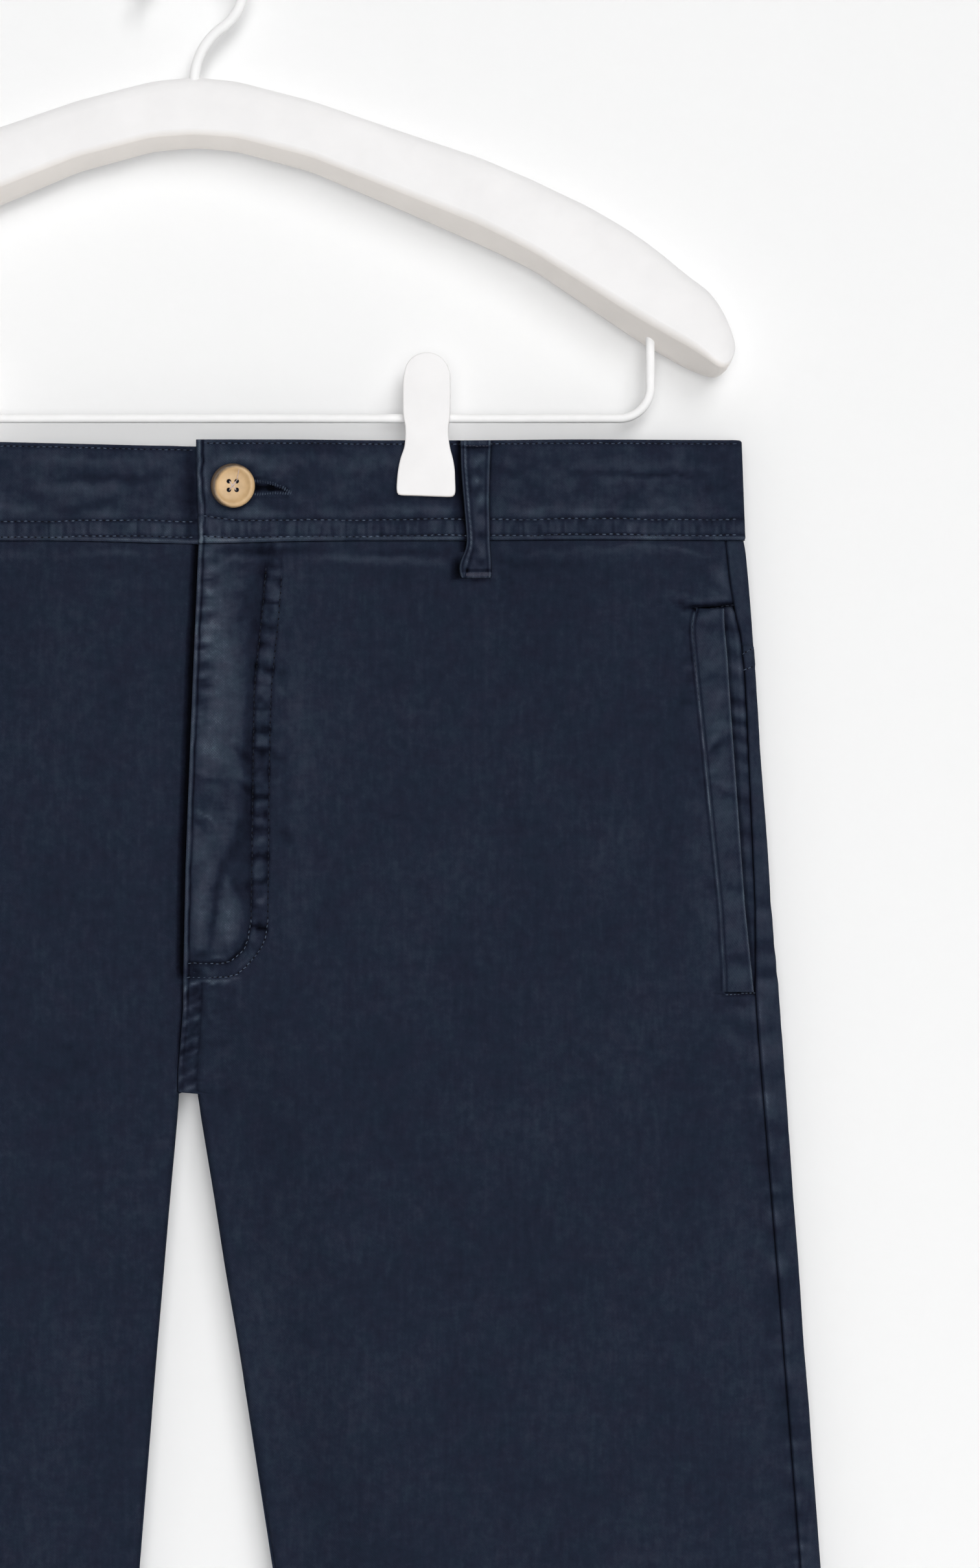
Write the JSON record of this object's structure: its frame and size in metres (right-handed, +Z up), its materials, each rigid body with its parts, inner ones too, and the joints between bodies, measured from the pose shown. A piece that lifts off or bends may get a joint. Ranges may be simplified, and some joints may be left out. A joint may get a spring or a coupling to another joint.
{
  "type": "chino shorts on clip hanger",
  "caption": "Flat-front chino shorts with a buttoned waistband, fly lap, belt loops and side welt pockets, clipped by the waistband to a bar hanger.",
  "frame": {"origin": "the inside of the hanger's hook at its top, where a rail carries it", "axes": "+Z up, -Y the front of the shorts, +X to the wearer's left"},
  "size_m": [0.4754, 0.025, 0.6847],
  "materials": {
    "twill": "garment-dyed navy cotton stretch twill, matt with worn seams",
    "zip": "woven zip tape",
    "horn": "polished imitation horn",
    "thread": "matt sewing thread",
    "hanger_plastic": "satin white moulded plastic",
    "hanger_wire": "white coated wire"
  },
  "bodies": {
    "root": {"back_left": "twill", "back_right": "twill", "belt_loop_back_centre": "twill", "belt_loop_back_left": "twill", "belt_loop_back_right": "twill", "belt_loop_front_left": "twill", "belt_loop_front_right": "twill", "button": "horn", "button_shank": "thread", "clip_left_back": "hanger_plastic", "clip_left_front": "hanger_plastic", "clip_right_back": "hanger_plastic", "clip_right_front": "hanger_plastic", "fly_zip": "zip", "front_left": "twill", "front_right": "twill", "hanger_arms": "hanger_plastic", "hanger_bar": "hanger_wire", "hanger_hook": "hanger_wire", "pocket_facing_left": "twill", "pocket_facing_right": "twill", "pocket_welt_left": "twill", "pocket_welt_right": "twill", "waistband_left": "twill", "waistband_right": "twill", "yoke_left": "twill", "yoke_right": "twill"}
  },
  "joints": []
}
